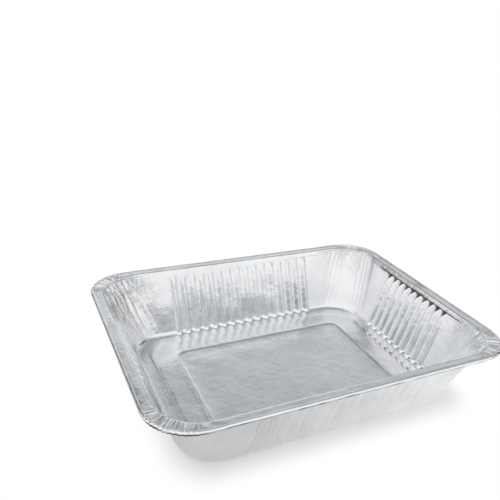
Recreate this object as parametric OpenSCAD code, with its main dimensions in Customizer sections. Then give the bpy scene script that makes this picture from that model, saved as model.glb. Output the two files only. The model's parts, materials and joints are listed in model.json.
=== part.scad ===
// Deep foil roasting pan, pressed from one sheet of thin aluminium.
// The sheet is one skin of even thickness. It starts at the free edge inside
// the rolled bead, goes round the bead, across the flat flange, down the fluted
// wall and over the floor. The origin is the middle of the resting face, with
// the length along X, the width along Y and the height along Z, in millimetres.

/* [Foil] */
// Thickness of the sheet
foil_t = 0.08; // [0.06:0.01:0.16]

/* [Rim] */
// Length over the bead
rim_l = 324; // [280:1:400]
// Width over the bead
rim_w = 264; // [230:1:330]
// Height from the resting face to the top of the bead
depth = 65; // [50:1:90]
// Outer radius of the rim's corners
rim_r = 38; // [34:1:60]
// Width of the flange from the outside of the bead to the foot of the inner lip
flange_w = 10; // [8:0.5:14]
// Corner radius of the mouth, at the foot of the inner lip
mouth_r = 38; // [30:1:50]
// Outer diameter of the rolled bead
bead_d = 3.6; // [3:0.1:5]
// Height of the bead above the flange
bead_proud = 0.8; // [0.5:0.1:1.2]
// Angle that the foil turns through in the roll, from the top to its free edge
bead_turn = 290; // [220:5:300]
// Part of the bead's radius that the free edge is drawn in by
bead_tuck = 0.25; // [0.1:0.05:0.4]
// Radius where the flange turns down into the wall
lip_r = 1.5; // [0.8:0.1:2.5]

/* [Crimps] */
// Crimps pressed into the flange round each corner
crimps = 15; // [9:1:17]
// Height of a crimp from its valley to its crest
crimp_h = 0.9; // [0.3:0.1:1.2]

/* [Walls] */
// Height of the plain shoulder band under the lip
shoulder_h = 2.6; // [2:0.1:9]
// How far the shoulder band leans in over its height
shoulder_run = 1.6; // [0.8:0.1:3]
// Inset of the base from the rim, measured where wall and floor would meet
base_inset = 33; // [28:0.5:40]
// Corner radius of the base, measured at the same place
base_r = 36; // [22:1:40]
// Radius between wall and floor
base_fillet = 6; // [3:0.5:9]
// Gathers pressed into the wall round each corner
gathers = 10; // [5:1:11]
// Depth of a gather, from valley to crest
gather_d = 1; // [0.4:0.1:1.4]

/* [Flutes] */
// Spacing of the flutes along a wall
flute_pitch = 10.16; // [9.5:0.02:14]
// How far a flute is pressed in from the wall
flute_depth = 2.2; // [1:0.1:3]
// Plain wall between the end of a corner's curve and the first flute
flute_margin = 10.4; // [4:0.1:30]
// Height of the sloping head at the top of each flute
flute_head = 4; // [1:0.1:6]

/* [Ledge] */
// Run of the stacking ledge all round under the shoulder
ledge_w = 0.8; // [0.3:0.1:1.5]
// Drop of the ledge over its run
ledge_drop = 0.8; // [0.4:0.1:2]

/* [Floor] */
// Width of the flat ring that the pan rests on
rest_w = 8; // [5:0.5:14]
// Lift of the middle panel above the resting ring
panel_lift = 1.2; // [0.6:0.1:2]
// Run of the step up to the panel
panel_run = 1.6; // [1:0.1:3]
// Plain panel outside the stiffening rib
rib_gap = 20; // [10:1:30]
// Width of the rib
rib_w = 6; // [4:0.5:10]
// Height of the rib above the panel
rib_h = 0.9; // [0.4:0.1:1.6]
// Least corner radius on the floor
floor_r = 10; // [6:1:14]

/* [Hidden] */

// Facets of the roll under the bead, of its quarter down the outside and of its top towards the flange
roll_steps = 6;
brow_steps = 3;
join_steps = 2;
// Facets of the fillet at the base, and round each corner of bead and floor
fillet_steps = 3;
bead_corner_steps = 8;
floor_corner_steps = 7;

// Shares of the flute's pitch that its pressed-in face and each sloping flank take
flute_face = 0.1;
flute_flank = 0.32;

// Height and inset of the sheet's mid-plane where the section changes direction
flange_z = depth - bead_proud - foil_t / 2;
shoulder_z = flange_z - lip_r - shoulder_h;
shoulder_inset = flange_w + shoulder_run;
wall_z = shoulder_z - ledge_drop;
wall_inset = shoulder_inset + ledge_w;
head_z = wall_z - flute_head;
floor_z = foil_t / 2;

// The rolled bead: centre of its section, mid-plane radius, and angle where it meets the flange
bead_c = [bead_d, 2 * depth - bead_d] / 2;
bead_mid_r = (bead_d - foil_t) / 2;
bead_join = -acos((flange_z - bead_c.y) / bead_mid_r);

// The fillet at the base: slope of the wall, and where the fillet leaves the floor
wall_slope = atan2(wall_z - floor_z, base_inset - wall_inset);
fillet_end = base_inset + base_fillet * tan(wall_slope / 2);
head_inset = wall_inset + flute_head / tan(wall_slope);

// Half of the rim's size towards +X, +Y, -X and -Y
half = [rim_l, rim_w, rim_l, rim_w] / 2;

function unit(v) = v / norm(v);

// Number from -1 to 1 that differs from fold to fold, so that no two folds are alike
function uneven(i) = sin(i * (110.7 + 47.3 * i));

// Direction across the rim towards +X, +Y, -X or -Y
function facing(k) = [cos(90 * k), sin(90 * k)];

// A station is one level of the section: its inset from the rim, its height, the
// radius of its corners, and how far flutes, crimps and gathers are formed there.
function station(inset, z, r, flute = 0, crimp = 0, gather = 0) = [inset, z, r, flute, crimp, gather];

// Levels of the bead run round its corners at an even distance. Over the flange
// the corner's radius goes over to that of the mouth.
function rim_station(inset, z, crimp = 0) =
    let(share = max(0, (inset - bead_d) / (flange_w - bead_d)))
    station(inset, z, (rim_r - inset) * (1 - share) + mouth_r * share, 0, crimp);

// Corner radius of a level of the wall or floor: it shrinks evenly down the wall,
// and by as much as the level lies inside the line of the wall
function lower_r(inset, z) =
    let(
        share = (z - floor_z) / (shoulder_z - floor_z),
        line = base_inset + (shoulder_inset - base_inset) * share,
        r = base_r + (mouth_r - shoulder_run - base_r) * share
    )
    max(floor_r, r - (inset - line));

function lower_station(inset, z, flute = 0, gather = 0) =
    station(inset, z, lower_r(inset, z), flute, 0, gather);

// The bead, from its free edge round the outside and over the top to the flange
bead_turns = [
    for (i = [0:roll_steps - 1]) bead_turn + (90 - bead_turn) * i / roll_steps,
    for (i = [0:brow_steps - 1]) 90 - 90 * i / brow_steps,
    for (i = [0:join_steps]) bead_join * i / join_steps
];
bead_section = [
    for (turn = bead_turns)
        let(r = bead_mid_r * (1 - bead_tuck * max(0, turn - 180) / (bead_turn - 180)))
        rim_station(bead_c.x - r * sin(turn), bead_c.y + r * cos(turn), turn == bead_join ? 0.35 : 0)
];

// The flange, with the crimps fading out over the lip
flange_section = [
    rim_station((bead_d + flange_w - lip_r) / 2, flange_z, 1),
    rim_station(flange_w - lip_r, flange_z, 0.6),
    rim_station(flange_w - lip_r * (1 - sin(45)), flange_z - lip_r * (1 - cos(45)), 0.3),
    rim_station(flange_w, flange_z - lip_r)
];

// The shoulder band's foot and the ledge's foot, where the flutes start
shoulder_level = lower_station(shoulder_inset, shoulder_z, 0, 0.6);
ledge_level = lower_station(wall_inset, wall_z, 0, 0.8);

// The foot of the flutes' heads, the wall and the fillet, where the flutes run out
wall_section = [
    lower_station(head_inset, head_z, 1, 1),
    for (i = [0:fillet_steps])
        let(
            angle = wall_slope * (1 - i / fillet_steps),
            inset = fillet_end - base_fillet * sin(angle),
            z = floor_z + base_fillet * (1 - cos(angle)),
            share = sin(90 * angle / wall_slope)
        )
        lower_station(inset, z, share, 0.4 * share)
];

// The floor: resting ring, step, panel and rib, up to a level inside the rib
panel_inset = fillet_end + rest_w + panel_run;
panel_z = floor_z + panel_lift;
rib_inset = panel_inset + rib_gap;
floor_section = [
    lower_station(fillet_end + rest_w, floor_z),
    lower_station(panel_inset, panel_z),
    lower_station(rib_inset, panel_z),
    lower_station(rib_inset + rib_w / 2, panel_z + rib_h),
    lower_station(rib_inset + rib_w, panel_z),
    lower_station(rib_inset + rib_w + rib_gap, panel_z)
];

// A column is a line down the sheet. It holds the quarter of the pan that it lies
// in, whether it is on the corner or the side after it, its place there (degrees
// round the corner or millimetres along the side), its folds [flute, crimp,
// gather] and its order round the pan, where a corner and a side each count one.
// A column with a crimp runs straight across the flange, square to the bead.
function corner_column(k, angle, folds = [0, 0, 0]) = [k, true, angle, folds, 2 * k + angle / 90];
function side_column(k, s, folds) = [k, false, s, folds, 2 * k + 1.5 + s / (2 * half[k])];

// Columns at even angles round every corner
function even_columns(steps) = [
    for (k = [0:3]) for (i = [0:steps]) corner_column(k, 90 * i / steps)
];

// Angles of the crests and valleys round a corner, unevenly spaced between its ends
function fold_angle(i, steps, k) =
    90 / steps * (i + (i == 0 || i == steps ? 0 : 0.3 * uneven(i + 5 * k)));

// Crests and valleys in turn, of uneven height, that fade towards the corner's ends
function fold_height(i, steps, k) =
    (i % 2 == 0 ? 1 : -1) * (0.7 + 0.3 * uneven(3 * i + 7 * k)) * sin(180 * i / steps) ^ 0.5;

crimp_columns = [
    for (k = [0:3]) for (i = [0:2 * crimps])
        corner_column(k, fold_angle(i, 2 * crimps, k), [0, fold_height(i, 2 * crimps, k), 0])
];

// Flutes that fit on the straight part of the side of the given length
function flute_count(length) =
    floor((length - 2 * max(rim_r, flange_w + mouth_r, base_inset + base_r) - 2 * flute_margin) / flute_pitch);

// Edges of a flute in shares of its pitch, and whether they are pressed in: its feet
// alone at the ledge, and its feet and face below
flute_foot = flute_face / 2 + flute_flank;
ledge_edges = [[-flute_foot, 0], [flute_foot, 0]];
wall_edges = [[-flute_foot, 0], [-flute_face / 2, 1], [flute_face / 2, 1], [flute_foot, 0]];

// The given edges of every flute on the side after corner k
function flute_columns(k, edges) =
    let(count = flute_count(2 * half[k]))
    [
        for (i = [0:1:count - 1]) for (edge = edges)
            side_column(k, flute_pitch * (i - (count - 1) / 2 + edge[0]), [edge[1], 0, 0])
    ];

function gather_columns(k) = [
    for (i = [0:2 * gathers])
        corner_column(k, fold_angle(i, 2 * gathers, k + 4), [0, 0, fold_height(i, 2 * gathers, k + 4)])
];

function folded_columns(edges) = [for (k = [0:3]) each concat(gather_columns(k), flute_columns(k, edges))];

// The point where a column crosses a station
function crossing(column, level) =
    let(
        k = column[0],
        folds = column[3],
        r = level[2],
        ahead = facing(k),
        beside = facing(k + 1),
        centre = (half[k] - level[0] - r) * ahead + (half[(k + 1) % 4] - level[0] - r) * beside,
        round_r = r - gather_d / 2 * level[5] * folds[2],
        angle = 90 * k + column[2],
        round_dir = [cos(angle), sin(angle)],
        shift = (level[0] + r - rim_r) * (ahead + beside),
        across = shift * round_dir,
        side_inset = level[0] + flute_depth * level[3] * folds[0],
        plan = column[1]
            ? (folds[1] == 0
                ? centre + round_r * round_dir
                : centre + shift + (sqrt(across ^ 2 - shift * shift + r ^ 2) - across) * round_dir)
            : (half[(k + 1) % 4] - side_inset) * beside - column[2] * ahead
    )
    [plan.x, plan.y, level[1] + crimp_h / 2 * level[4] * folds[1]];

// Every level from the bead's free edge to the middle of the floor, with its columns
levels = concat(bead_section, flange_section, [shoulder_level, ledge_level], wall_section, floor_section);
bead_columns = even_columns(bead_corner_steps);
wall_columns = folded_columns(wall_edges);
floor_columns = even_columns(floor_corner_steps);
rings = concat(
    [for (i = [2:len(bead_section)]) bead_columns],
    [for (i = [0:len(flange_section)]) crimp_columns],
    [folded_columns([]), folded_columns(ledge_edges)],
    [for (level = wall_section) wall_columns],
    [for (level = floor_section) floor_columns]
);

// Direction of the path a, b, c at b: the mean of its two steps, where a or c may be b itself
function bearing(a, b, c) =
    a == b ? unit(c - b) : b == c ? unit(b - a) : (unit(b - a) + unit(c - b)) / 2;

// The points of ring i, moved off the sheet's mid-plane towards the food side. A
// point on a fold moves further, as a mitre does, so the sheet keeps its thickness.
function ring_points(i, offset) =
    let(
        columns = rings[i],
        count = len(columns),
        mid = [for (column = columns) crossing(column, levels[i])],
        above = levels[max(i - 1, 0)],
        below = levels[min(i + 1, len(levels) - 1)]
    )
    [
        for (j = [0:count - 1])
            let(
                along = bearing(mid[(j + count - 1) % count], mid[j], mid[(j + 1) % count]),
                down = bearing(crossing(columns[j], above), mid[j], crossing(columns[j], below)),
                normal = norm(along) * norm(down) * unit(cross(along, down))
            )
            mid[j] + offset * normal / (normal * normal)
    ];

// Place of the middle of each edge of a ring, in the order round the pan
function edge_middles(columns) =
    let(count = len(columns))
    [for (j = [0:count - 1]) (columns[j][4] + (j == count - 1 ? 8 : columns[j + 1][4])) / 2];

function count_below(list, limit) = len([for (value = list) if (value < limit) 1]);
function count_up_to(list, limit) = len([for (value = list) if (value <= limit) 1]);

// Triangles between two rings, whose first points are numbers a and b. Every edge
// is joined to the other ring's point that lies beside it, so the rings may have
// different columns.
function band(upper, lower, a, b) =
    let(
        m = len(upper),
        n = len(lower),
        upper_middles = edge_middles(upper),
        lower_middles = edge_middles(lower)
    )
    [
        for (i = [0:m - 1])
            [a + i, b + count_below(lower_middles, upper_middles[i]) % n, a + (i + 1) % m],
        for (j = [0:n - 1])
            [b + j, b + (j + 1) % n, a + count_up_to(upper_middles, lower_middles[j]) % m]
    ];

function reversed(list) = [for (i = [len(list) - 1:-1:0]) list[i]];

// Number of the first point of each ring, and of the points on one face of the sheet
starts = [for (i = 0, total = 0; i < len(rings); total = total + len(rings[i]), i = i + 1) total];
face_points = starts[len(rings) - 1] + len(rings[len(rings) - 1]);

// Triangles of the food side: the bands, and the middle of the floor
food_side = [
    for (i = [0:len(rings) - 2]) each band(rings[i], rings[i + 1], starts[i], starts[i + 1]),
    reversed([for (j = [starts[len(rings) - 1]:face_points - 1]) j])
];

// The same triangles for the underside, turned over
underside = [for (face = food_side) reversed([for (point = face) point + face_points])];

// The cut edge of the foil, inside the roll
cut_edge = [
    for (j = [0:len(bead_columns) - 1])
        let(next = (j + 1) % len(bead_columns))
        each [[j, next, next + face_points], [j, next + face_points, j + face_points]]
];

module pan() {
    color([0.86, 0.87, 0.88])
        polyhedron(
            points = [
                for (offset = [foil_t / 2, -foil_t / 2]) for (i = [0:len(rings) - 1]) each ring_points(i, offset)
            ],
            faces = concat(food_side, underside, cut_edge),
            convexity = 8
        );
}

pan();
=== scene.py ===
import json
import math
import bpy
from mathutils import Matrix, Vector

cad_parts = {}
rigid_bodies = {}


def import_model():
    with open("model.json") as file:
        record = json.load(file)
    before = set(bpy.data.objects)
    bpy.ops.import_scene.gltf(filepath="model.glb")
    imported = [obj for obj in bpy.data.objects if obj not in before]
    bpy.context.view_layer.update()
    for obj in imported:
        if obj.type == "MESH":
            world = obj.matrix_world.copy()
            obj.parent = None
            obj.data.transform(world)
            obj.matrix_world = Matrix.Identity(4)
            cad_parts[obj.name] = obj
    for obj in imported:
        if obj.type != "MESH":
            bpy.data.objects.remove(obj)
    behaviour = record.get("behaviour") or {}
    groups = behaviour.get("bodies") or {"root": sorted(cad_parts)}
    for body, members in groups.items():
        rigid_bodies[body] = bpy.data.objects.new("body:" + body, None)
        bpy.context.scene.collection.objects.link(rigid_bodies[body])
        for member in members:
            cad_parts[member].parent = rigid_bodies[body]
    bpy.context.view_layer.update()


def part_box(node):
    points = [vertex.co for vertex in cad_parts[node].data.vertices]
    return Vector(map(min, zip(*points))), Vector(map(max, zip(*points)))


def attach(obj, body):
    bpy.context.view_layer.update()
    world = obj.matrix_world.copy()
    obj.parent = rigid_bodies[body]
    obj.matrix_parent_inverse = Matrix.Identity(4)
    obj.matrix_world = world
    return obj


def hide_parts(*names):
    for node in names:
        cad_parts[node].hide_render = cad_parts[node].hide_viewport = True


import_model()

from types import SimpleNamespace

import bpy
import numpy as np
from bpy.props import (
    FloatProperty, FloatVectorProperty, IntProperty, PointerProperty, StringProperty
)
from mathutils import Matrix, Vector

bl_info = {
    "name": "Foil roasting pan",
    "version": (1, 0, 0),
    "blender": (4, 5, 0),
    "location": "3D View > Sidebar > Foil Pan",
    "description": "Builds a deep fluted roasting pan pressed from thin aluminium foil",
    "category": "Add Mesh",
}

LOW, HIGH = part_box("pan")
MM = 0.001
SPAN = (np.array(HIGH) - np.array(LOW)) / MM  # length, width and height of the pan's box
CLEAR = 0.002  # mm kept free inside that box on each side
TINY = 1e-6  # mm, to tell one level from the next
SHARP = math.radians(26)  # faces that meet at a wider angle keep a hard edge

# Rows of the mesh over each part of the sheet's section. The roll has three stretches:
# from the free edge round to the outer side, up to the top, and down to the flange
ROLL_ROWS = (9, 5, 4)
ROWS = {
    "flange": 4, "lip": 4, "shoulder": 4, "ledge": 2, "head": 4, "wall": 9, "fillet": 7,
    "ring": 3, "step": 4, "panel": 5, "rib": 8, "middle": 6,
}

# Columns of the mesh that share out the margin between a corner and a side's last place
RIM_MARGIN, WALL_MARGIN, FLOOR_MARGIN = 7, 8, 12
ONCE_ROUND = 8  # a corner and a side each count one in the order round the pan
QUARTER_WAY = 400  # mm of the fine creases' pattern set aside for a corner and its side

# A fold is flat over a share of its way at each end, and this much of its fall is between
CRIMP_FLAT, CRIMP_STEEP = 0.34, 0.62
GATHER_FLAT, GATHER_STEEP = 0.28, 0.6
CRIMP_GAIN = 1.2  # height of the tallest crimp as a multiple of the crimp height
SCALLOP = 0.3  # mm that a crimp's valley draws the bead in by
CREASES = 20  # random creases round each corner
FAR_OFF = 1000  # mm, out of every crease's reach

# Each flag round the pan: the way to it, the cosines of the angles at which its soft edge
# starts and ends, and the light that it leaves
FLAGS = (
    ((-0.45, 0.66, 0.6), 0.95, 0.978, 0.05),
    ((0.02, 0.68, 0.73), 0.98, 0.994, 0.3),
    ((-0.49, 0.86, 0.12), 0.945, 0.985, 0.1),
    ((0.69, 0.71, 0.12), 0.955, 0.985, 0.03),
    ((0.96, 0.03, 0.27), 0.9, 0.965, 0.12),
)

# Each lamp: its name, where it stands in metres, its width and its power in watts
LAMPS = (("key", (-0.9, 1.0, 1.5), 1.3, 12), ("fill", (1.1, -1.2, 1.4), 1.6, 8))
PLAIN_LIGHT = 0.74  # strength of the room's light on everything but metal
SWEEP_RADIUS, SWEEP_SIDES = 9.0, 128


# Sizes and colours


def size(name, description, default):
    """A length in metres, from its default in millimetres."""
    return FloatProperty(
        name=name, description=description, default=default * MM, min=0.0,
        unit="LENGTH", subtype="DISTANCE", precision=5)


def fraction(name, description, default):
    """A part of a whole, from 0 to 1."""
    return FloatProperty(
        name=name, description=description, default=default, min=0.0, max=1.0,
        subtype="FACTOR")


def tilt(name, description, default):
    """An angle in radians, from its default in degrees."""
    return FloatProperty(
        name=name, description=description, default=math.radians(default),
        unit="ROTATION", subtype="ANGLE")


def spot(name, description, default):
    """A point of the studio in metres."""
    return FloatVectorProperty(
        name=name, description=description, default=default,
        unit="LENGTH", subtype="TRANSLATION", precision=5)


def paint(name, description, code):
    """A colour written as an sRGB hex code."""
    return StringProperty(name=name, description=description, default=code)


class PanSizes(bpy.types.PropertyGroup):
    """Sizes of the pressed sheet"""

    foil: size("Foil", "Thickness of the sheet", 0.08)
    length: size("Length", "Length over the bead", SPAN[0] - 2 * CLEAR)
    width: size("Width", "Width over the bead", SPAN[1] - 2 * CLEAR)
    depth: size("Depth", "Height from the resting face to the bead's top", SPAN[2] - CLEAR)
    rim_radius: size("Rim corner", "Outer radius of the rim's corners", 38)
    flange: size("Flange", "Width from the outside of the bead to the inner lip", 10)
    mouth_radius: size("Mouth corner", "Corner radius at the foot of the inner lip", 38)
    bead: size("Bead", "Outer diameter of the rolled bead", 3.6)
    bead_proud: size("Bead height", "Height of the bead above the flange", 0.8)
    bead_turn: tilt("Bead turn", "Angle that the foil turns through in the roll", 290)
    bead_tuck: fraction("Bead tuck", "Part of its radius that the free edge is drawn in", 0.25)
    lip_radius: size("Lip radius", "Radius where the flange turns down into the wall", 1.5)
    crimps: IntProperty(
        name="Crimps", description="Crimps pressed into the flange round each corner",
        default=15, min=1)
    crimp_height: size("Crimp height", "Height of a crimp from valley to crest", 0.9)
    shoulder: size("Shoulder", "Height of the plain band under the lip", 2.6)
    shoulder_run: size("Shoulder run", "How far the band leans in over its height", 1.6)
    base_inset: size("Base inset", "Inset of the base from the rim", 33)
    base_radius: size("Base corner", "Corner radius of the base", 36)
    base_fillet: size("Base fillet", "Radius between wall and floor", 6)
    gathers: IntProperty(
        name="Gathers", description="Gathers in the wall round each corner",
        default=10, min=1)
    gather_depth: size("Gather depth", "Depth of a gather from valley to crest", 1.0)
    flute_pitch: size("Flute pitch", "Spacing of the flutes along a wall", 10.16)
    flute_depth: size("Flute depth", "How far a flute is pressed in from the wall", 2.2)
    flute_margin: size("Flute margin", "Plain wall between a corner and the first flute", 10.4)
    flute_head: size("Flute head", "Height of the sloping head of each flute", 4)
    flute_face: fraction("Flute face", "Share of the pitch that a flute's crest takes", 0.1)
    flute_flank: fraction("Flute flank", "Share of the pitch that each flank takes", 0.32)
    ledge_run: size("Ledge run", "Run of the stacking ledge under the shoulder", 0.8)
    ledge_drop: size("Ledge drop", "Drop of the ledge over its run", 0.8)
    resting_ring: size("Resting ring", "Width of the flat ring that the pan rests on", 8)
    panel_lift: size("Panel lift", "Lift of the middle panel above the ring", 1.2)
    panel_run: size("Panel run", "Run of the step up to the panel", 1.6)
    rib_gap: size("Rib gap", "Plain panel outside the rib", 20)
    rib_width: size("Rib width", "Width of the stiffening rib", 6)
    rib_height: size("Rib height", "Height of the rib above the panel", 0.9)
    floor_radius: size("Floor corner", "Least corner radius on the floor", 10)


class FoilFinish(bpy.types.PropertyGroup):
    """Colours of the foil, and how badly it is creased and dented"""

    bright: paint("Bright side", "Colour of clean rolled foil", "#F6F7F8")
    dull: paint("Worked foil", "Colour where pressing has dulled the foil", "#EBECEE")
    # Colour of the painted shade under the bead: the foil's colour is darkened towards it where
    # the roll turns under
    slit: paint("Painted_bead_shade", "Tone of the dark slit in the roll under the bead", "#55575A")
    wrinkle: size("Wrinkle depth", "Depth of the random creases in the corners", 0.55)
    dent: size("Dent depth", "Depth of the soft dents in walls and floor", 0.35)
    seed: IntProperty(
        name="Seed", description="Number that the random creases start from", default=7)


class StudioSettings(bpy.types.PropertyGroup):
    """Colours of the studio, and the camera"""

    floor: paint("Floor", "Colour of the studio floor", "#FFFFFF")
    horizon: paint("Horizon", "Colour of the backdrop at eye level", "#FFFFFF")
    above: paint("Above eye level", "Colour of the studio a little higher up", "#D7D9DC")
    halfway: paint("Half-way up", "Colour of the studio half-way to the ceiling", "#B4B7BA")
    ceiling: paint("Ceiling", "Colour of the studio high behind the pan", "#9B9EA1")
    lens: FloatProperty(
        name="Lens", description="Focal length on a 36 mm sensor", default=41.53,
        unit="CAMERA")
    camera: spot("Camera", "Where the camera stands", (-0.22406, -0.41742, 0.32142))
    aim: spot("Aim", "Point on the floor in the lens axis", (0.07014, 0.12984, 0.0))
    roll: tilt("Roll", "Turn of the camera about its axis", 4.196)
    shift: FloatVectorProperty(
        name="Shift", description="Shift of the lens in frame widths", size=2,
        default=(-0.08, 0.1))


def settings_of(group):
    """The group's own properties, without the two that every group has."""
    return [p for p in group.bl_rna.properties if p.identifier not in ("rna_type", "name")]


def in_millimetres(group):
    """The group's settings as plain numbers, with its lengths in mm and its angles in
    degrees."""
    plain = SimpleNamespace()
    for prop in settings_of(group):
        value = getattr(group, prop.identifier)
        if prop.unit == "LENGTH":
            value = value / MM
        if prop.unit == "ROTATION":
            value = math.degrees(value)
        setattr(plain, prop.identifier, value)
    return plain


# Random fields


def waves(points, length, seed):
    """Smooth random field of about unit size: the sum of 28 cosine waves of about the
    given length in mm, with seeded directions and phases, taken at every point."""
    count = 28
    rng = np.random.default_rng(seed)
    way = rng.normal(size=(count, 3))
    number = 2 * math.pi / length * rng.uniform(0.7, 1.4, count)
    way *= (number / np.linalg.norm(way, axis=1))[:, None]
    phase = rng.uniform(0, 2 * math.pi, count)
    return np.cos(points @ way.T + phase).sum(-1) * math.sqrt(2 / count)


def uneven(i):
    """Number from -1 to 1 that differs from fold to fold: the sine of i (110.7 + 47.3 i)
    degrees."""
    return np.sin(np.radians(i * (110.7 + 47.3 * i)))


def folds(steps, k):
    """Angles and heights of a corner's crests and valleys in turn. Each angle is an even
    share of 90 degrees moved by an uneven part of a step, and the heights change sign
    from fold to fold and fade towards the corner's ends as the root of a sine."""
    i = np.arange(steps + 1)
    inner = (i > 0) & (i < steps)
    angle = 90 / steps * (i + np.where(inner, 0.3 * uneven(i + 5 * k), 0))
    height = np.where(i % 2 == 0, 1, -1) * (0.7 + 0.3 * uneven(3 * i + 7 * k))
    return angle, height * np.sqrt(np.sin(np.pi * i / steps).clip(0))


def leaning(steps, k):
    """The same folds with every crest pushed towards one of its valleys, at random, so
    that one flank of a fold is long and gentle and the other short and steep."""
    angle, height = folds(steps, k)
    i = np.arange(steps + 1)
    lean = 90 / steps * np.where(uneven(2 * i + 3 * k) > 0, 0.3, -0.3)
    return angle + np.where((i % 2 == 1) & (i < steps), lean, 0), height


def pressed(place, angle, height, flat, steep):
    """Height of a fold at a place, on its way from crest to valley. The share called steep
    of the fall lies between the flat parts at both ends, as in foil that a die has
    pressed flat, and the rest is spread evenly."""
    i = np.clip(np.searchsorted(angle, place, "right") - 1, 0, len(angle) - 2)
    t = (place - angle[i]) / (angle[i + 1] - angle[i])
    t = (1 - steep) * t + steep * np.clip((t - flat) / (1 - 2 * flat), 0, 1)
    return height[i] + (height[i + 1] - height[i]) * t


def bends(angle, flat):
    """The angles of the folds, and between them their middles and where the flat parts
    end."""
    part = np.array([0, flat, 0.5, 1 - flat])[:, None]
    return np.unique(np.round(np.r_[(angle[:-1] + part * np.diff(angle)).ravel(), 90], 6))


def smoothstep(low, high, x):
    """Rises from 0 at low to 1 at high as 3 t^2 - 2 t^3."""
    t = np.clip((x - low) / (high - low), 0, 1)
    return t * t * (3 - 2 * t)


def band(rise, fall, x):
    """1 between a rise and a fall, each of which is a smoothstep over its two values."""
    return smoothstep(*rise, x) * (1 - smoothstep(*fall, x))


# The sheet's section


def line(part, a, b):
    """A straight part of the section: its name, and its points from a to b at even steps,
    without a."""
    t = np.linspace(0, 1, ROWS[part] + 1)[1:, None]
    return part, np.array(a) + (np.array(b) - np.array(a)) * t


def section(s):
    """Rows of the sheet's mid-plane in mm from the roll's free edge to the middle of the
    floor, as inset from the rim and height. The roll is an arc whose radius shrinks to
    the free edge; flange, shoulder, ledge and wall are straight lines joined by the lip's
    and the fillet's arcs; step and rib on the floor are raised cosines. Returns the
    points, the row where each part ends, the shoulder's inset and height with the
    floor's height, and the roll's angle at each of its rows."""
    t = s.foil
    flange_z = s.depth - s.bead_proud - t / 2
    shoulder_z = flange_z - s.lip_radius - s.shoulder
    shoulder_inset = s.flange + s.shoulder_run
    wall_z, wall_inset = shoulder_z - s.ledge_drop, shoulder_inset + s.ledge_run
    floor_z = t / 2
    slope = math.atan2(wall_z - floor_z, s.base_inset - wall_inset)
    head = (wall_inset + s.flute_head / math.tan(slope), wall_z - s.flute_head)

    bead = np.array([s.bead / 2, s.depth - s.bead / 2])
    bead_r = (s.bead - t) / 2
    join = -math.degrees(math.acos((flange_z - bead[1]) / bead_r))
    under, over, down = ROLL_ROWS
    turn = np.concatenate([
        np.linspace(s.bead_turn, 90, under, False), np.linspace(90, 0, over, False),
        np.linspace(0, join, down)])
    r = bead_r * (1 - s.bead_tuck * np.maximum(0, turn - 180) / (s.bead_turn - 180))
    a = np.radians(turn)
    roll = bead + np.stack([-r * np.sin(a), r * np.cos(a)], 1)

    a = np.radians(np.linspace(0, 90, ROWS["lip"] + 1))[1:]
    lip_mid = np.array([s.flange - s.lip_radius, flange_z - s.lip_radius])
    lip = lip_mid + s.lip_radius * np.stack([np.sin(a), np.cos(a)], 1)

    a = slope * (1 - np.linspace(0, 1, ROWS["fillet"] + 1))
    fillet_end = s.base_inset + s.base_fillet * math.tan(slope / 2)
    fillet = np.stack([
        fillet_end - s.base_fillet * np.sin(a), floor_z + s.base_fillet * (1 - np.cos(a))], 1)

    ring_end = fillet_end + s.resting_ring
    panel, panel_z = ring_end + s.panel_run, floor_z + s.panel_lift
    rib = panel + s.rib_gap
    u = np.linspace(0, 1, ROWS["step"] + 1)[1:]
    step = np.stack([
        ring_end + s.panel_run * u, floor_z + s.panel_lift * (1 - np.cos(np.pi * u)) / 2], 1)
    u = np.linspace(0, 1, ROWS["rib"] + 1)[1:]
    ridge = np.stack([
        rib + s.rib_width * u, panel_z + s.rib_height * (1 - np.cos(2 * np.pi * u)) / 2], 1)
    last = s.width / 2 - 2  # the last ring stops 2 mm short of the middle line

    parts = [
        ("roll", roll),
        line("flange", roll[-1], (s.flange - s.lip_radius, flange_z)),
        ("lip", lip),
        line("shoulder", (s.flange, flange_z - s.lip_radius), (shoulder_inset, shoulder_z)),
        line("ledge", (shoulder_inset, shoulder_z), (wall_inset, wall_z)),
        line("head", (wall_inset, wall_z), head),
        line("wall", head, fillet[0]),
        ("fillet", fillet[1:]),
        line("ring", (fillet_end, floor_z), (ring_end, floor_z)),
        ("step", step),
        line("panel", (panel, panel_z), (rib, panel_z)),
        ("rib", ridge),
        line("middle", (rib + s.rib_width, panel_z), (last, panel_z)),
    ]
    ends, total = {}, 0
    for name, points in parts:
        total += len(points)
        ends[name] = total - 1
    levels = (shoulder_inset, shoulder_z, floor_z)
    return np.concatenate([points for _, points in parts]), ends, levels, turn


# Columns run down the sheet. Each has its quarter of the pan, whether it is on the
# corner or on the side after it, its place there and its share of the plain margin.


def column_set(corner_angles, side_places, margin_steps):
    """Columns round the pan as arrays, from the angles and places in each quarter:
    quarter, on a corner or not, place (degrees round the corner, or mm along the side) and
    blend, which is 0 at a fixed place and 1 at the corner's end. A margin between the
    last fixed place and the corner has even blends."""
    quarter, corner, place, blend = [], [], [], []
    share = np.linspace(0, 1, margin_steps + 1)[1:-1]
    margin = len(share)
    for k, (angles, places) in enumerate(zip(corner_angles, side_places)):
        on_side = len(places) + 2 * margin
        quarter.append(np.full(len(angles) + on_side, k))
        corner.append(np.r_[np.ones(len(angles), bool), np.zeros(on_side, bool)])
        place.append(np.r_[
            angles, np.full(margin, places[0]), places, np.full(margin, places[-1])])
        blend.append(np.r_[
            np.zeros(len(angles)), -share[::-1], np.zeros(len(places)), share])
    return [np.concatenate(v) for v in (quarter, corner, place, blend)]


def flute_count(s, length):
    """Flutes that fit on the straight part of a side."""
    corner = max(s.rim_radius, s.flange + s.mouth_radius, s.base_inset + s.base_radius)
    return int((length - 2 * corner - 2 * s.flute_margin) // s.flute_pitch)


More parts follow.
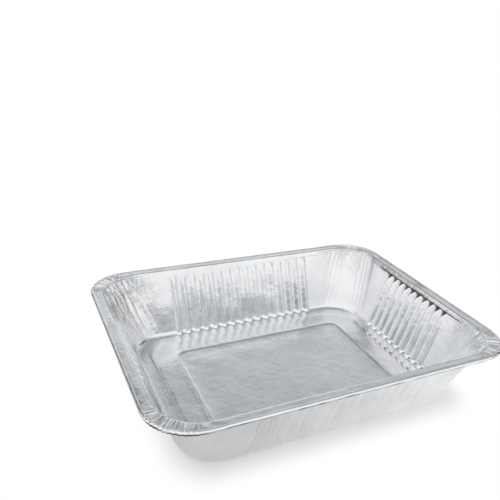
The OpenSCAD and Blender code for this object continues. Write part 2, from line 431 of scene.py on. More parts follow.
def rim_columns(sheet):
    """Columns over bead and flange: at the bends of the crimps, and 5 mm apart along the
    sides up to 14 mm from the corners."""
    s = sheet.s
    angles = [bends(leaning(2 * s.crimps, k)[0], CRIMP_FLAT) for k in range(4)]
    places = []
    for reach in sheet.half - s.rim_radius - 14:
        places.append(np.linspace(-reach, reach, int(2 * reach / 5)))
    return column_set(angles, places, RIM_MARGIN)


def wall_columns(sheet):
    """Columns over the wall: at the bends of the gathers, and along the sides between the
    flutes, in the middle of each and at five places on each of its flanks."""
    s = sheet.s
    angles = [bends(folds(2 * s.gathers, k + 4)[0], GATHER_FLAT) for k in range(4)]
    flank = s.flute_face / 2 + s.flute_flank * np.linspace(0, 1, 5)
    edges = np.r_[-0.5, -flank[::-1], 0, flank]
    places = []
    for half in sheet.half:
        count = flute_count(s, 2 * half)
        grid = (np.arange(count)[:, None] - (count - 1) / 2 + edges).ravel()
        places.append(s.flute_pitch * np.r_[grid, count / 2])
    return column_set(angles, places, WALL_MARGIN)


def floor_columns(sheet):
    """Columns over the floor: 5 degrees apart round the corners, and five along the part
    of each side that is straight on every row of the floor."""
    s = sheet.s
    places = []
    for half in sheet.half:
        reach = min(half - s.width / 2 + 0.5, half - s.base_inset - s.base_radius - 6)
        places.append(np.linspace(-1, 1, 5) * reach)
    return column_set([np.linspace(0, 90, 19)] * 4, places, FLOOR_MARGIN)


class Sheet:
    """The pressed sheet: where any column crosses any row."""

    def __init__(self, s, finish):
        self.s, self.finish = s, finish
        self.rows, self.ends, levels, turn = section(s)
        self.shoulder_inset, self.shoulder_z, self.floor_z = levels
        self.turn = np.r_[turn, np.zeros(len(self.rows) - len(turn))]
        self.half = np.array([s.length, s.width, s.length, s.width]) / 2
        self.arc = math.radians(90) * s.base_radius
        step = np.linalg.norm(np.diff(self.rows, axis=0), axis=1)
        self.down = np.r_[0, np.cumsum(step)] - np.cumsum(step)[self.ends["lip"] - 1]
        tangent = np.gradient(self.rows, axis=0)
        tangent /= np.linalg.norm(tangent, axis=1)[:, None]
        self.normal = np.stack([-tangent[:, 1], tangent[:, 0]], 1)
        self.creases = self.scatter()

    def radius(self, inset, z):
        """Corner radius of a level. On the bead it is the rim's radius less the inset, and
        over the flange it goes over to the mouth's. On the wall it shrinks evenly with
        height from the shoulder's to the base's, and by as much as the level lies inside
        the line of the wall."""
        s = self.s
        share = (z - self.floor_z) / (self.shoulder_z - self.floor_z)
        line = s.base_inset + (self.shoulder_inset - s.base_inset) * share
        r = s.base_radius + (s.mouth_radius - s.shoulder_run - s.base_radius) * share
        lower = np.maximum(s.floor_radius, r - (inset - line))
        share = np.clip((inset - s.bead) / (s.flange - s.bead), 0, 1)
        mouth = s.mouth_radius - np.maximum(0, inset - s.flange)
        upper = (s.rim_radius - inset) * (1 - share) + mouth * share
        r = np.where(z > self.shoulder_z + TINY, upper, lower)
        return np.minimum(r, s.width / 2 - inset)

    def crossing(self, row, inset, r, half):
        """How columns cross a row. On the rim they run straight in from the bead, square
        to it, so a corner's columns start from the bead's centre, which lies outside the
        row's own by a shift along both sides, and a side ends where the bead's does. On
        the wall each row has its own centre and ends."""
        on_rim = row <= self.ends["lip"]
        shift = np.where(on_rim, inset + r - self.s.rim_radius, 0.0)
        return shift, np.where(on_rim, half - self.s.rim_radius, half - inset - r)

    def order(self, columns, row):
        """Place of each column of a row in the order round the pan, where a corner and a
        side each count one: the share of the corner's angle or of the side's length."""
        quarter, corner, place, blend = columns
        inset, z = self.rows[row]
        r = self.radius(inset, z)
        reach = self.half[quarter] - inset - r
        shift, ends_at = self.crossing(row, inset, r, self.half[quarter])
        along = place + np.abs(blend) * (np.sign(blend) * ends_at - place)
        c, w = np.cos(np.radians(place)), np.sin(np.radians(place))
        t = np.sqrt(np.square(shift * (c + w)) - 2 * shift ** 2 + r * r) - shift * (c + w)
        round_corner = np.degrees(np.arctan2(shift + t * w, shift + t * c)) / 90
        past = np.degrees(np.arcsin(np.clip((np.abs(along) - reach) / r, 0, 1))) / 90
        on_side = 1.5 + np.clip(along / reach, -1, 1) / 2 + np.sign(along) * past
        return 2 * quarter + np.where(corner, round_corner, on_side)

    def scatter(self):
        """Random creases in the wall round the corners: the corner, the place round it and
        down the wall, and the slant, length, width and height of each. They fan out, so
        the slant turns with the place round the corner."""
        rng = np.random.default_rng(self.finish.seed)
        made = []
        for k in range(4):
            across = rng.normal(0.5, 0.36, CREASES) * self.arc
            down = rng.uniform(-1, 26, CREASES)
            slant = rng.normal(0, 24, CREASES) - 35 * (across / self.arc - 0.5)
            length = rng.uniform(10, 34, CREASES)
            width = rng.uniform(1.6, 3.4, CREASES)
            height = rng.uniform(0.35, 1, CREASES) * rng.choice([-1, 1], CREASES)
            corner = np.full(CREASES, k)
            made.append(np.stack([corner, across, down, slant, length, width, height], 1))
        return np.concatenate(made)

    def stand(self, columns, index):
        """Where the columns stand before anything is pressed into the sheet. A corner
        column stands on the level's arc, and a side column on its straight line or, past
        the line's end, on the arc beyond it. Folds wander by a degree or so down the
        sheet, so the columns round a corner do too. Returns the points, the way out from
        the pan in plan, the place along the side and where the side ends, and how far
        into its corner each column is."""
        quarter, corner, place, blend = columns
        inset, z = self.rows[index, 0][:, None], self.rows[index, 1][:, None]
        down = self.down[index][:, None]
        r = self.radius(inset, z)
        quarter_turn = np.pi / 2 * quarter
        ahead = np.stack([np.cos(quarter_turn), np.sin(quarter_turn)], 1).round(9)
        beside = np.stack([-ahead[:, 1], ahead[:, 0]], 1)
        half = self.half[quarter]
        long_end, wide_end = half - inset - r, self.half[(quarter + 1) % 4] - inset - r

        # Each corner reads its own stretch of the wander's field, 0.55 mm to a degree
        span = np.sin(np.pi * place / 90).clip(0) ** 0.5 * corner
        probe = np.stack(np.broadcast_arrays(place * 0.55 + 200.0 * quarter, down, 0.0), -1)
        seed = self.finish.seed
        wander = waves(probe, 16, seed + 1) * 0.9 + waves(probe, 5, seed + 2) * 0.3
        turn = np.radians(90 * quarter + place + wander * span)
        out = np.stack([np.cos(turn), np.sin(turn)], -1)
        centre = long_end[..., None] * ahead + wide_end[..., None] * beside
        shift, ends_at = self.crossing(index[:, None], inset, r, half)
        shift = shift[..., None] * (ahead + beside)
        across = (shift * out).sum(-1)
        across = np.sqrt(across ** 2 - (shift ** 2).sum(-1) + r ** 2) - across
        corner_out = (shift + across[..., None] * out) / r[..., None]

        along = place + np.abs(blend) * (np.sign(blend) * ends_at - place)
        past = np.clip(np.abs(along) - long_end, 0, 0.9 * r) / r
        level = np.sqrt(1 - past ** 2)
        side_out = level[..., None] * beside - (np.sign(along) * past)[..., None] * ahead
        on_side = (wide_end + r * level)[..., None] * beside - along[..., None] * ahead

        plan = np.where(corner[:, None], centre + r[..., None] * corner_out, on_side)
        return SimpleNamespace(
            points=np.concatenate([plan, z[..., None] + 0 * plan[..., :1]], -1),
            out=np.where(corner[:, None], corner_out, side_out),
            along=along, ends_at=ends_at, span=span)

    def flutes(self, columns, index, along):
        """How far the flutes go in: ridges with softened edges, cut off by a plane head
        under the ledge and run out in the fillet as a quarter of a cosine."""
        s, ends = self.s, self.ends
        quarter, corner, _, blend = columns
        on_long, on_short = [flute_count(s, length) for length in (s.length, s.width)]
        count = np.where(quarter % 2 == 0, on_long, on_short)
        number = along / s.flute_pitch + (count - 1) / 2
        nearest = np.round(number)
        real = (nearest >= 0) & (nearest < count) & ~corner & (blend == 0)
        foot = s.flute_face / 2 + s.flute_flank
        rise = np.clip((foot - np.abs(number - nearest)) / s.flute_flank, 0, 1)
        profile = (rise + smoothstep(0, 1, rise)) / 2 * real
        head = np.clip((index - ends["ledge"]) / (ends["head"] - ends["ledge"]), 0, 1)
        out = np.clip((index - ends["wall"]) / (ends["fillet"] - ends["wall"]), 0, 1)
        cut = np.minimum(head[:, None], profile)
        return s.flute_depth * cut * np.cos(np.pi / 2 * out)[:, None]

    def corner_folds(self, columns):
        """Heights of the crimps and of the gathers at each column, about -1 to 1."""
        quarter, corner, place, _ = columns
        crimp, gather = np.zeros(len(place)), np.zeros(len(place))
        for k in range(4):
            here = corner & (quarter == k)
            crimp[here] = CRIMP_GAIN * pressed(
                place[here], *leaning(2 * self.s.crimps, k), CRIMP_FLAT, CRIMP_STEEP)
            gather[here] = pressed(
                place[here], *folds(2 * self.s.gathers, k + 4), GATHER_FLAT, GATHER_STEEP)
        return crimp, gather

    def creased(self, columns, down, at):
        """Height of the random creases: ridges of triangular section that fade towards
        both their ends, on the wall alone."""
        quarter, corner, place, _ = columns
        total = 0
        for k, across, start, slant, length, width, height in self.creases:
            near = np.where(corner & (quarter == k), place / 90 * self.arc, FAR_OFF)
            near = np.where(~corner & (quarter == k), self.arc + at.ends_at + at.along, near)
            near = np.where(~corner & (quarter == (k - 1) % 4), at.along - at.ends_at, near)
            du, dv = near - across, down - start
            c, w = math.cos(math.radians(slant)), math.sin(math.radians(slant))
            run, over = dv * c + du * w, du * c - dv * w
            fade = np.clip(np.minimum(run, length - run) / (0.35 * length), 0, 1)
            total = total + height * np.clip(1 - np.abs(over) / width, 0, 1) * fade
        return self.finish.wrinkle * total * band((-1.5, 2), (56, 62), down)

    def wear(self, columns, index, at):
        """Way round the rim and way down the sheet in mm, how hard the sheet is worked, and
        how much painted shade it takes under the bead. The sheet is worked most in the corners
        and under the lip, and fades along the sides and down the wall. The painted shade starts
        at about 98 degrees of the roll, earlier in the corners and unevenly."""
        s = self.s
        quarter, corner, place, _ = columns
        down, turn = self.down[index][:, None], self.turn[index][:, None]
        beyond = np.where(corner, 0, at.ends_at - np.abs(at.along))
        reach = np.where(down < 0, 12, 26)
        worked = smoothstep(0, 1, 1 - beyond / reach) * np.where(down < 0, 0.25, 1)
        worked *= band((-s.flange, -s.flange + 2), (58, 66), down)
        worked *= 1 - 0.72 * smoothstep(3, 34, down)
        before, after = self.arc + at.ends_at + at.along, at.along - at.ends_at + QUARTER_WAY
        way = np.where(corner, place / 90 * self.arc, np.where(at.along < 0, before, after))
        way = way + QUARTER_WAY * quarter
        # Painted shade under the bead, from about 98 degrees of the roll on: a band of darker
        # colour where the roll turns under
        start = 98 - 26 * at.span - 10 * waves(at.points, 12, self.finish.seed + 7)
        slit = smoothstep(start, start + 20, turn)
        return np.stack(np.broadcast_arrays(way, down, worked, slit), -1)

    def points(self, columns, first, last):
        """Mid-plane points of rows first to last, their places in the flat sheet, and their way
        round and down the sheet, how hard they are worked and how much painted shade they take
        under the bead. Flutes and the bead's scallops go in towards the middle of the pan,
        crimps go up and down, and gathers, creases and dents go along the sheet's normal. Each
        acts on a band of the way down the sheet, which counts in mm from the lip's foot."""
        s, finish = self.s, self.finish
        index = np.arange(first, last + 1)
        down = self.down[index][:, None]
        at = self.stand(columns, index)

        # Crimps on the flange with scallops in the bead, gathers in the wall
        crimp, gather = self.corner_folds(columns)
        on_bead = 1 - smoothstep(-s.flange + 1, -s.flange + 2.6, down)
        on_flange = band((-s.flange, -s.flange + 2), (-1, 2), down)
        tall = 2.5 - 1.6 * smoothstep(4, 16, down) - 0.5 * smoothstep(18, 50, down)
        on_wall = band((-0.3, 1.2), (58, 64), down) * tall
        inward = self.flutes(columns, index, at.along)
        inward = inward + SCALLOP * on_bead * (1 - crimp).clip(0, 2) * at.span
        lift = s.crimp_height / 2 * on_flange * crimp
        bulge = s.gather_depth / 2 * on_wall * gather + self.creased(columns, down, at)

        # Soft dents in wall and floor, and the hand-worn waviness of flange and bead
        seed = finish.seed
        soft = waves(at.points, 34, seed + 3) * 0.6 + waves(at.points, 15, seed + 4) * 0.25
        fine = waves(at.points, 7, seed + 5)
        sag = (1 + waves(at.points, 26, seed + 6)).clip(0, 2)
        flange_wave = band((-s.flange + 1, -s.flange + 3), (-0.5, 1), down)
        wall_wave = band((1, 8), (54, 62), down)
        floor_wave = smoothstep(72, 82, down)
        bulge = bulge + finish.dent * wall_wave * (0.55 * soft + 0.12 * fine)
        lift = lift + finish.dent * flange_wave * (0.35 * soft + 0.22 * fine)
        lift = lift + finish.dent * floor_wave * (0.4 * soft + 0.06 * fine + 0.15)
        lift = lift - 0.1 * (1 - flange_wave) * (down < 0) * sag

        ni, nz = self.normal[index, 0][:, None], self.normal[index, 1][:, None]
        moved = at.points.copy()
        moved[..., :2] -= at.out * (inward + bulge * ni)[..., None]
        moved[..., 2] += bulge * nz + lift
        folded_up = np.maximum(0, self.down[self.ends["fillet"]] - down)
        flat = at.points[..., :2] + at.out * folded_up[..., None]
        return moved, flat, self.wear(columns, index, at)


# The pan's mesh


def zipped(upper, a, lower, b):
    """Triangles between two rings whose first points are a and b. Each edge is joined to
    the other ring's point beside it, found by comparing the middles of the edges."""
    middles = [(ring + np.r_[ring[1:], ring[0] + ONCE_ROUND]) / 2 for ring in (upper, lower)]
    all_up, all_low = [np.r_[m - ONCE_ROUND, m, m + ONCE_ROUND] for m in middles]
    m, n = len(upper), len(lower)
    i, j = np.arange(m), np.arange(n)
    below = b + np.searchsorted(all_low, middles[0], "left") % n
    above = a + np.searchsorted(all_up, middles[1], "right") % m
    up = np.stack([a + i, a + (i + 1) % m, below], 1)
    low = np.stack([b + j, above, b + (j + 1) % n], 1)
    return np.concatenate([up, low])


def face_normals(points, quads, tris):
    """Mean direction of the faces round every point: cross products of the faces'
    diagonals or edges, added up at their corners and made of unit length."""
    total = np.zeros_like(points)
    for faces, (a, b), (c, d) in ((quads, (0, 2), (1, 3)), (tris, (0, 1), (0, 2))):
        p = points[faces]
        cross = np.cross(p[:, b] - p[:, a], p[:, d] - p[:, c])
        for corner in range(faces.shape[1]):
            np.add.at(total, faces[:, corner], cross)
    return total / np.linalg.norm(total, axis=1)[:, None]


def lay_grids(sheet):
    """The sheet's mid-plane as three grids, for rim, wall and floor, which have columns of
    their own and are zipped together. Returns the points, their places in the flat sheet,
    their way round and down the sheet, how hard they are worked and their painted shade
    under the bead, quads and triangles, and the rings at the free edge and at the middle."""
    lip, fillet, last_row = sheet.ends["lip"], sheet.ends["fillet"], len(sheet.rows) - 1
    rim, wall, floor = rim_columns(sheet), wall_columns(sheet), floor_columns(sheet)
    points, flats, worked_and_shaded, quads, tris, total = [], [], [], [], [], 0
    for above, columns, first, last in (
        (None, rim, 0, lip), (rim, wall, lip + 1, fillet), (wall, floor, fillet + 1, last_row)
    ):
        grid, flat, wear = sheet.points(columns, first, last)
        m, n = grid.shape[:2]
        i, j = np.meshgrid(np.arange(m - 1), np.arange(n), indexing="ij")
        here, beside = total + i * n + j, total + i * n + (j + 1) % n
        quads.append(np.stack([here, beside, beside + n, here + n], -1).reshape(-1, 4))
        if above:
            ring = sheet.order(above, first - 1)
            tris.append(zipped(ring, total - len(ring), sheet.order(columns, first), total))
        points.append(grid.reshape(-1, 3))
        flats.append(flat.reshape(-1, 2))
        worked_and_shaded.append(wear.reshape(-1, 4))
        total += m * n
    edge, middle = np.arange(len(rim[0])), np.arange(total - len(floor[0]), total)
    return *map(np.concatenate, (points, flats, worked_and_shaded, quads, tris)), edge, middle


def pan_mesh(s, finish):
    """The pan as one closed skin. Both faces lie half the foil's thickness off the
    mid-plane along its normal. The cut edge joins them at the roll's free edge, and a flat
    face closes each of them in the middle of the floor."""
    points, flats, worked_and_shaded, quads, tris, edge, middle = lay_grids(Sheet(s, finish))
    total = len(points)
    normal = face_normals(points, quads, tris)
    both = np.concatenate([points + normal * s.foil / 2, points - normal * s.foil / 2])
    both = np.clip(both, np.array(LOW) / MM, np.array(HIGH) / MM) * MM
    after = np.roll(edge, -1)
    cut = np.stack([edge, edge + total, after + total, after], 1)
    faces = quads.tolist() + (quads[:, ::-1] + total).tolist()
    faces += tris.tolist() + (tris[:, ::-1] + total).tolist()
    faces += cut.tolist() + [middle.tolist(), (middle[::-1] + total).tolist()]

    mesh = bpy.data.meshes.new("foil_pan")
    mesh.from_pydata(both, [], faces)
    uv = mesh.uv_layers.new(name="sheet")
    point_of = np.empty(len(mesh.loops), np.int32)
    mesh.loops.foreach_get("vertex_index", point_of)
    flats = np.concatenate([flats, flats]) * MM
    uv.data.foreach_set("uv", flats[point_of].astype(np.float32).ravel())
    worked_and_shaded = np.concatenate([worked_and_shaded, worked_and_shaded])
    # The last attribute is the painted shade under the bead, which darkens the foil's colour in
    # the material
    for name, kind, field, values in (
        ("folds", "FLOAT_VECTOR", "vector", worked_and_shaded[:, :3] * (MM, MM, 0)),
        ("worked", "FLOAT", "value", worked_and_shaded[:, 2]),
        ("painted_roll_shade", "FLOAT", "value", worked_and_shaded[:, 3]),
    ):
        layer = mesh.attributes.new(name, kind, "POINT")
        layer.data.foreach_set(field, values.astype(np.float32).ravel())
    mesh.polygons.foreach_set("use_smooth", np.ones(len(mesh.polygons), bool))
    mesh.update()
    mesh.set_sharp_from_angle(angle=SHARP)
    return mesh


# Materials


def linear(code):
    """An sRGB hex code as linear red, green, blue and alpha."""
    part = np.array([int(code[i:i + 2], 16) / 255 for i in (1, 3, 5)])
    part = np.where(part <= 0.04045, part / 12.92, ((part + 0.055) / 1.055) ** 2.4)
    return (*part.tolist(), 1.0)


def add(tree, kind, settings=None, values=None, links=None):
    """Adds a node, gives it its settings and input values, and links sockets to its
    inputs. In a colour mix, input 0 is the share, 6 and 7 are the two colours, and output
    2 is the mixed one."""
    made = tree.nodes.new(kind)
    for name, value in (settings or {}).items():
        setattr(made, name, value)
    for name, value in (values or {}).items():
        made.inputs[name].default_value = value
    for name, source in (links or {}).items():
        tree.links.new(source, made.inputs[name])
    return made


def empty_material(name):
    """A new material without nodes, and its node tree."""
    material = bpy.data.materials.new(name)
    material.use_nodes = True
    material.node_tree.nodes.clear()
    return material, material.node_tree


def rays(tree):
    """Two sockets: 1 for what the camera sees straight, and 1 for what metal or glass
    shows."""
    path = add(tree, "ShaderNodeLightPath")
    mirrored = add(
        tree, "ShaderNodeMath", {"operation": "MAXIMUM"},
        links={0: path.outputs["Is Glossy Ray"], 1: path.outputs["Is Transmission Ray"]})
    return path.outputs["Is Camera Ray"], mirrored.outputs[0]


def rolled_aluminium_foil(finish):
    """Aluminium foil, cold-rolled and then pressed in a die. It mirrors the room softly,
    because rolling leaves fine lines along the sheet and pressing dulls it where it
    stretches."""
    material, tree = empty_material("aluminium foil, cold-rolled and pressed")
    place = add(tree, "ShaderNodeTexCoord")
    # Patches some 25 mm across where the die has rubbed the foil duller
    patches = add(
        tree, "ShaderNodeTexNoise", {}, {"Scale": 40.0, "Detail": 3.0, "Roughness": 0.55},
        {"Vector": place.outputs["Object"]})
    colour = add(tree, "ShaderNodeValToRGB", links={"Fac": patches.outputs[0]})
    dull, bright = colour.color_ramp.elements
    dull.position, dull.color = 0.35, linear(finish.dull)
    bright.position, bright.color = 0.65, linear(finish.bright)
    rough = add(
        tree, "ShaderNodeMapRange", {},
        {"From Min": 0.3, "From Max": 0.7, "To Min": 0.12, "To Max": 0.22},
        {"Value": patches.outputs[0]})
    # Rolling lines run along the sheet. Real ones lie 0.05 mm apart, too fine to show, so
    # these are 1 mm apart
    lines_at = add(
        tree, "ShaderNodeMapping", {}, {"Scale": (40.0, 1000.0, 1.0)},
        {"Vector": place.outputs["UV"]})
    lines = add(
        tree, "ShaderNodeTexNoise", {}, {"Scale": 1.0, "Detail": 2.0},
        {"Vector": lines_at.outputs[0]})
    rough_lines = add(
        tree, "ShaderNodeMath", {"operation": "MULTIPLY_ADD"}, {1: 0.08},
        {0: lines.outputs[0], 2: rough.outputs[0]})
    bump_lines = add(
        tree, "ShaderNodeBump", {}, {"Strength": 0.25, "Distance": 0.00004},
        {"Height": lines.outputs[0]})
    # Dimples of 3 mm and a crumple of 7 mm, as handling leaves in foil this thin
    dimples = add(
        tree, "ShaderNodeTexNoise", {}, {"Scale": 330.0, "Detail": 2.0, "Roughness": 0.5},
        {"Vector": place.outputs["Object"]})
    bump_dimples = add(
        tree, "ShaderNodeBump", {}, {"Strength": 0.6, "Distance": 0.00022},
        {"Height": dimples.outputs[0], "Normal": bump_lines.outputs[0]})
    crumple = add(
        tree, "ShaderNodeTexVoronoi", {"feature": "SMOOTH_F1"},
        {"Scale": 140.0, "Smoothness": 0.35}, {"Vector": place.outputs["Object"]})
    bump_crumple = add(
        tree, "ShaderNodeBump", {}, {"Strength": 0.35, "Distance": 0.0004},
        {"Height": crumple.outputs["Distance"], "Normal": bump_dimples.outputs[0]})
    # Creases 1.5 mm apart run down the sheet where the corners gather it
    folds_at = add(tree, "ShaderNodeAttribute", {"attribute_name": "folds"})
    creases_at = add(
        tree, "ShaderNodeMapping", {}, {"Scale": (650.0, 75.0, 1.0)},
        {"Vector": folds_at.outputs["Vector"]})
    creases = add(
        tree, "ShaderNodeTexNoise", {}, {"Scale": 1.0, "Detail": 2.0, "Roughness": 0.45},
        {"Vector": creases_at.outputs[0]})
    sharp = add(
        tree, "ShaderNodeMath", {"operation": "PINGPONG"}, {1: 0.12},
        {0: creases.outputs[0]})
    worked = add(tree, "ShaderNodeAttribute", {"attribute_name": "worked"})
    deep = add(
        tree, "ShaderNodeMath", {"operation": "MULTIPLY"},
        links={0: sharp.outputs[0], 1: worked.outputs["Fac"]})
    bump_creases = add(
        tree, "ShaderNodeBump", {}, {"Strength": 1.0, "Distance": 0.002},
        {"Height": deep.outputs[0], "Normal": bump_crumple.outputs[0]})
    # Painted shade: under the bead the colour is darkened towards the shade tone in a band,
    # where the roll turns under
    painted_roll_shade = add(tree, "ShaderNodeAttribute", {"attribute_name": "painted_roll_shade"})
    toned = add(
        tree, "ShaderNodeMix", {"data_type": "RGBA"}, {7: linear(finish.slit)},
        {0: painted_roll_shade.outputs["Fac"], 6: colour.outputs[0]})
    metal = add(
        tree, "ShaderNodeBsdfPrincipled", {}, {"Metallic": 1.0},
        {"Base Color": toned.outputs[2], "Roughness": rough_lines.outputs[0],
         "Normal": bump_creases.outputs[0]})
    add(tree, "ShaderNodeOutputMaterial", links={"Surface": metal.outputs[0]})
    return material


def matt_white_sweep(studio):
    """Matt white studio sweep. It takes the pan's soft shadow close by, and further off
    the camera sees it as plain white. The metal sees painted shadow on it instead: it glows
    greyer towards the left, where the pan's shadow lies, and dark far off behind the pan on
    the right, as a painted dark reflection."""
    material, tree = empty_material("studio sweep, matt white paper")
    place = add(tree, "ShaderNodeTexCoord")
    camera, mirrored = rays(tree)
    # The shadow ends some 40 mm outside a rectangle of 220 by 170 mm under the pan
    off_middle = add(
        tree, "ShaderNodeVectorMath", {"operation": "ABSOLUTE"},
        links={0: place.outputs["Object"]})
    past = add(
        tree, "ShaderNodeVectorMath", {"operation": "SUBTRACT"}, {1: (0.11, 0.085, 0.0)},
        {0: off_middle.outputs[0]})
    outside = add(
        tree, "ShaderNodeVectorMath", {"operation": "MAXIMUM"}, {1: (0.0, 0.0, 0.0)},
        {0: past.outputs[0]})
    far = add(
        tree, "ShaderNodeVectorMath", {"operation": "LENGTH"}, links={0: outside.outputs[0]})
    fade = add(
        tree, "ShaderNodeMapRange", {"interpolation_type": "SMOOTHSTEP"},
        {"From Min": 0.012, "From Max": 0.043, "To Min": 0.1},
        {"Value": far.outputs["Value"]})
    glowing = add(
        tree, "ShaderNodeMath", {"operation": "MULTIPLY_ADD", "use_clamp": True},
        links={0: fade.outputs[0], 1: camera, 2: mirrored})
    # Painted shadow: in the metal the paper glows greyer, most of all on the left, where the
    # pan's shadow lies
    across = add(tree, "ShaderNodeSeparateXYZ", links={0: place.outputs["Object"]})
    grey = add(
        tree, "ShaderNodeMapRange", {},
        {"From Min": -0.08, "From Max": 0.13, "To Min": 0.62, "To Max": 0.92},
        {"Value": across.outputs["X"]})
    # Painted dark reflection: far off behind the pan on the right the paper glows dark in the
    # metal alone, as if a black flag stood there, and this draws the bead's dark edge
    behind = add(
        tree, "ShaderNodeVectorMath", {"operation": "DOT_PRODUCT"}, {1: (0.8, 0.6, 0.0)},
        {0: place.outputs["Object"]})
    painted_dark_reflection = add(
        tree, "ShaderNodeMapRange", {},
        {"From Min": 0.28, "From Max": 0.36, "To Min": 1.0, "To Max": 0.15},
        {"Value": behind.outputs["Value"]})
    shaded = add(
        tree, "ShaderNodeMath", {"operation": "MULTIPLY"},
        links={0: grey.outputs[0], 1: painted_dark_reflection.outputs[0]})
    shown = add(
        tree, "ShaderNodeMath", {"operation": "MAXIMUM"},
        links={0: shaded.outputs[0], 1: camera})
    # Fibres of 0.4 mm, which keep the paper from looking like plastic
    fibres = add(
        tree, "ShaderNodeTexNoise", {}, {"Scale": 2500.0, "Detail": 1.0},
        {"Vector": place.outputs["Object"]})
    bump = add(
        tree, "ShaderNodeBump", {}, {"Strength": 0.05, "Distance": 0.0001},
        {"Height": fibres.outputs[0]})
    paper = add(
        tree, "ShaderNodeBsdfDiffuse", {}, {"Color": linear(studio.floor)},
        {"Normal": bump.outputs[0]})
    white = add(
        tree, "ShaderNodeEmission", {}, {"Color": linear(studio.floor)},
        {"Strength": shown.outputs[0]})
    mix = add(
        tree, "ShaderNodeMixShader",
        links={0: glowing.outputs[0], 1: paper.outputs[0], 2: white.outputs[0]})
    add(tree, "ShaderNodeOutputMaterial", links={"Surface": mix.outputs[0]})
    return material


def patch(tree, way, toward, outer, inner, low=0.0, high=1.0):
    """A round patch of the room with a soft edge: high where the cosine of the angle to
    its middle is over inner, low where it is under outer, and a smoothstep between."""
    near = add(
        tree, "ShaderNodeVectorMath", {"operation": "DOT_PRODUCT"}, {1: toward}, {0: way})
    return add(
        tree, "ShaderNodeMapRange", {"interpolation_type": "SMOOTHSTEP"},
        {"From Min": outer, "From Max": inner, "To Min": low, "To Max": high},
        {"Value": near.outputs["Value"]}).outputs[0]


def studio_room(studio):
    """The room round the pan. In front and on the left it is white all the way up. Behind
    the pan it is white at eye level and greyer higher up. Five flags stand round it, as
    photographers set them to draw edges on metal. Only the metal mirrors all this: the
    camera sees plain white, and everything else is lit by one plain grey."""
    world = bpy.data.worlds.new("studio room")
    bpy.context.scene.world = world
    world.use_nodes = True
    tree = world.node_tree
    tree.nodes.clear()
    camera, mirrored = rays(tree)
    way = add(tree, "ShaderNodeTexCoord").outputs["Generated"]
    white = linear(studio.horizon)
    part = add(tree, "ShaderNodeSeparateXYZ", links={0: way})
    height = add(tree, "ShaderNodeValToRGB", links={"Fac": part.outputs["Z"]})
    stops = height.color_ramp.elements
    for position in (0.62, 0.8, 1.0):
        stops.new(position)
    codes = (studio.horizon, studio.above, studio.halfway, studio.ceiling, studio.ceiling)
    for stop, position, code in zip(stops, (0.18, 0.45, 0.62, 0.8, 1.0), codes):
        stop.position, stop.color = position, linear(code)
    front = patch(tree, way, (-0.6, -0.8, 0.0), -0.3, 0.25)
    # A soft box high on the left, behind the pan, which puts white into the crimps
    soft_box = patch(tree, way, (-0.25, 0.55, 0.8), 0.925, 0.965)
    lit = add(
        tree, "ShaderNodeMath", {"operation": "MAXIMUM"}, links={0: front, 1: soft_box})
    light = add(
        tree, "ShaderNodeMix", {"data_type": "RGBA"}, {7: white},
        {0: lit.outputs[0], 6: height.outputs[0]})
    # The flags' shades are multiplied together
    strength, *shades = [
        patch(tree, way, toward, outer, inner, 1.0, left)
        for toward, outer, inner, left in FLAGS]
    for shade in shades:
        strength = add(
            tree, "ShaderNodeMath", {"operation": "MULTIPLY"},
            links={0: strength, 1: shade}).outputs[0]
    plain = add(tree, "ShaderNodeBackground", {}, {"Color": white, "Strength": PLAIN_LIGHT})
    seen = add(tree, "ShaderNodeBackground", {}, {"Color": white, "Strength": 1.0})
    mirror = add(
        tree, "ShaderNodeBackground", links={"Color": light.outputs[2], "Strength": strength})
    unseen = add(
        tree, "ShaderNodeMixShader",
        links={0: mirrored, 1: plain.outputs[0], 2: mirror.outputs[0]})
    both = add(
        tree, "ShaderNodeMixShader", links={0: camera, 1: unseen.outputs[0], 2: seen.outputs[0]})
    add(tree, "ShaderNodeOutputWorld", links={"Surface": both.outputs[0]})


# Operators


class FOILPAN_OT_pan(bpy.types.Operator):
    """Build the roasting pan as one closed sheet of pressed foil"""

    bl_idname = "foilpan.pan"
    bl_label = "Foil pan"

    def execute(self, context):
        finish = context.scene.foil_finish
        mesh = pan_mesh(in_millimetres(context.scene.pan_sizes), in_millimetres(finish))
        mesh.materials.append(rolled_aluminium_foil(finish))
        pan = bpy.data.objects.new("foil_pan", mesh)
        context.scene.collection.objects.link(pan)
        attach(pan, "root")
        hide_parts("pan")
        return {"FINISHED"}


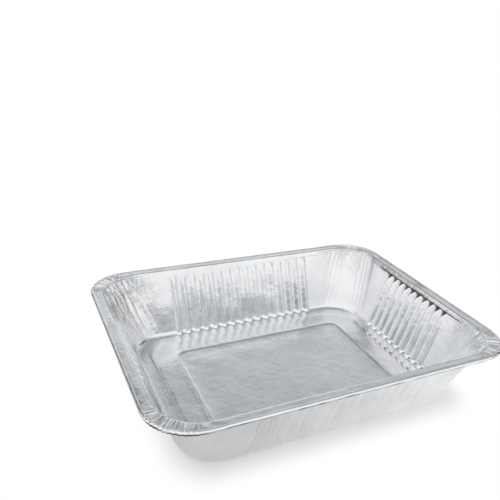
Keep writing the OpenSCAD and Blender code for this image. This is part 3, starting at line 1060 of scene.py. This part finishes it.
class FOILPAN_OT_stage(bpy.types.Operator):
    """Lay the studio floor, light the room and set up the camera"""

    bl_idname = "foilpan.stage"
    bl_label = "Studio"

    def execute(self, context):
        studio = context.scene.studio_settings
        things = context.scene.collection.objects
        turn = np.linspace(0, 2 * np.pi, SWEEP_SIDES, endpoint=False)
        ring = np.stack([
            SWEEP_RADIUS * np.cos(turn), SWEEP_RADIUS * np.sin(turn),
            np.full(SWEEP_SIDES, LOW[2])], 1)
        floor_mesh = bpy.data.meshes.new("sweep")
        floor_mesh.from_pydata(ring, [], [list(range(SWEEP_SIDES))])
        floor_mesh.materials.append(matt_white_sweep(studio))
        floor = bpy.data.objects.new("sweep", floor_mesh)
        things.link(floor)
        studio_room(studio)

        for name, at, wide, power in LAMPS:
            lamp = bpy.data.lights.new(name, "AREA")
            lamp.shape, lamp.size, lamp.energy = "DISK", wide, power
            stand = bpy.data.objects.new(name, lamp)
            stand.visible_glossy = False  # the metal mirrors the room and not the lamps
            stand.location = at
            stand.rotation_euler = (-Vector(at)).to_track_quat("-Z", "Y").to_euler()
            things.link(stand)

        lens = bpy.data.cameras.new("camera")
        lens.sensor_width, lens.lens = 36, studio.lens
        lens.shift_x, lens.shift_y = studio.shift
        lens.clip_start, lens.clip_end = 0.01, 50
        camera = bpy.data.objects.new("camera", lens)
        ahead = (Vector(studio.aim) - Vector(studio.camera)).normalized()
        sideways = ahead.cross(Vector((0, 0, 1))).normalized()
        upright = sideways.cross(ahead)
        c, w = math.cos(studio.roll), math.sin(studio.roll)
        right, up = sideways * c + upright * w, upright * c - sideways * w
        turned = Matrix((right, up, -ahead)).transposed().to_4x4()
        camera.matrix_world = Matrix.Translation(studio.camera) @ turned
        things.link(camera)
        context.scene.camera = camera
        context.scene.view_settings.view_transform = "Standard"
        return {"FINISHED"}


class FOILPAN_PT_panel(bpy.types.Panel):
    """The pan's sizes, finish and studio, and the buttons that build them"""

    bl_label = "Foil roasting pan"
    bl_idname = "FOILPAN_PT_panel"
    bl_space_type = "VIEW_3D"
    bl_region_type = "UI"
    bl_category = "Foil Pan"

    def draw(self, context):
        scene = context.scene
        for operator, groups in (
            (FOILPAN_OT_pan, (scene.pan_sizes, scene.foil_finish)),
            (FOILPAN_OT_stage, (scene.studio_settings,)),
        ):
            box = self.layout.box()
            box.operator(operator.bl_idname)
            for group in groups:
                for prop in settings_of(group):
                    box.prop(group, prop.identifier)


CLASSES = (
    PanSizes, FoilFinish, StudioSettings, FOILPAN_OT_pan, FOILPAN_OT_stage, FOILPAN_PT_panel
)


def register():
    for cls in CLASSES:
        bpy.utils.register_class(cls)
    bpy.types.Scene.pan_sizes = PointerProperty(type=PanSizes)
    bpy.types.Scene.foil_finish = PointerProperty(type=FoilFinish)
    bpy.types.Scene.studio_settings = PointerProperty(type=StudioSettings)


def unregister():
    del bpy.types.Scene.studio_settings
    del bpy.types.Scene.foil_finish
    del bpy.types.Scene.pan_sizes
    for cls in reversed(CLASSES):
        bpy.utils.unregister_class(cls)


def main():
    register()
    bpy.ops.foilpan.pan()
    bpy.ops.foilpan.stage()


if __name__ == "__main__":
    main()
